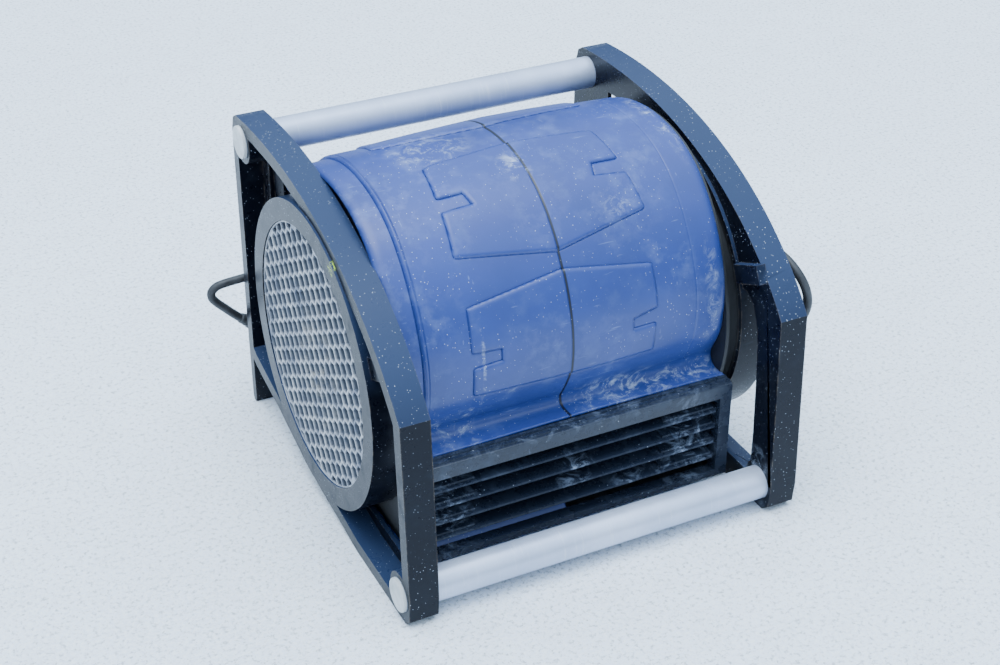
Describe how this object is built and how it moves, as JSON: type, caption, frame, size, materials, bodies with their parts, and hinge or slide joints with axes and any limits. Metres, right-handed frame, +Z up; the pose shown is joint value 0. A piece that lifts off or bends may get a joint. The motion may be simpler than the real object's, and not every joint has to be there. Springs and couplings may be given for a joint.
{
  "type": "pivoting utility blower fan",
  "caption": "Portable blower fan: a blue scroll head with a louvred outlet tilts between moulded side frames joined by metal tubes, with a honeycomb side inlet and a wrapped cord.",
  "frame": {"origin": "centre of the rectangle the fan covers on the floor, at floor level, leaving out the cord", "axes": "+X along the tubes towards the control side, -Y the way the air outlet faces, +Z up"},
  "size_m": [0.4137, 0.3883, 0.3051],
  "materials": {
    "housing_plastic": "blue moulded plastic, satin, lightly scuffed",
    "frame_plastic": "black moulded plastic, scuffed edges",
    "tube_metal": "smooth silver-grey tube",
    "cap_plastic": "light grey moulded plastic",
    "grille_plastic": "grey plastic honeycomb, worn",
    "nylon": "natural nylon",
    "motor_steel": "plated steel",
    "screw_steel": "zinc-plated steel",
    "knob_plastic": "black moulded plastic",
    "button_plastic": "red moulded plastic",
    "wheel_plastic": "dark moulded plastic",
    "cord_rubber": "black flexible jacket, satin",
    "plug_brass": "plain brass"
  },
  "bodies": {
    "frame": {"left_side_frame": "frame_plastic", "right_side_frame": "frame_plastic", "top_handle_tube": "tube_metal", "bottom_tube": "tube_metal", "top_left_tube_cap": "cap_plastic", "top_right_tube_cap": "cap_plastic", "bottom_left_tube_cap": "cap_plastic", "bottom_right_tube_cap": "cap_plastic", "left_inlet_grille": "grille_plastic", "left_glide_ring": "frame_plastic", "right_glide_ring": "frame_plastic", "motor": "motor_steel", "motor_plate": "motor_steel", "control_housing": "frame_plastic", "control_panel": "frame_plastic", "speed_switch": "nylon", "run_capacitor": "motor_steel", "panel_screw_1": "screw_steel", "panel_screw_2": "screw_steel", "panel_screw_3": "screw_steel", "panel_screw_4": "screw_steel", "accessory_outlets": "knob_plastic", "cord_wrap_bar": "frame_plastic", "power_cord_lead": "cord_rubber", "power_cord_tail": "cord_rubber", "power_cord_winding": "cord_rubber", "cord_strain_relief": "cord_rubber", "power_plug": "cord_rubber", "plug_line_blade": "plug_brass", "plug_neutral_blade": "plug_brass", "plug_ground_pin": "plug_brass"},
    "head": {"left_housing_shell": "housing_plastic", "right_housing_shell": "housing_plastic", "left_end_plate": "frame_plastic", "right_end_plate": "frame_plastic", "inlet_cone": "frame_plastic", "outlet_louvre": "frame_plastic"},
    "impeller": {"blower_wheel": "wheel_plastic", "motor_shaft": "screw_steel"},
    "knob": {"speed_knob": "knob_plastic"},
    "button": {"reset_button": "button_plastic"}
  },
  "joints": [
    {"name": "head_pivot", "type": "hinge", "parent": "frame", "child": "head", "pos_m": [0, -0.004, 0.1471], "axis": [-1, 0, 0], "range_deg": [0, 90]},
    {"name": "impeller_spin", "type": "hinge", "parent": "frame", "child": "impeller", "pos_m": [0, -0.004, 0.1471], "axis": [1, 0, 0], "continuous": true},
    {"name": "speed_knob_turn", "type": "hinge", "parent": "frame", "child": "knob", "pos_m": [0.17, -0.004, 0.1471], "axis": [1, 0, 0], "range_deg": [0, 135]},
    {"name": "reset_button_press", "type": "slide", "parent": "frame", "child": "button", "axis": [-1, 0, 0], "range_m": [0, 0.002], "stiffness_N_per_m": 120, "springref_m": -0.0005}
  ]
}
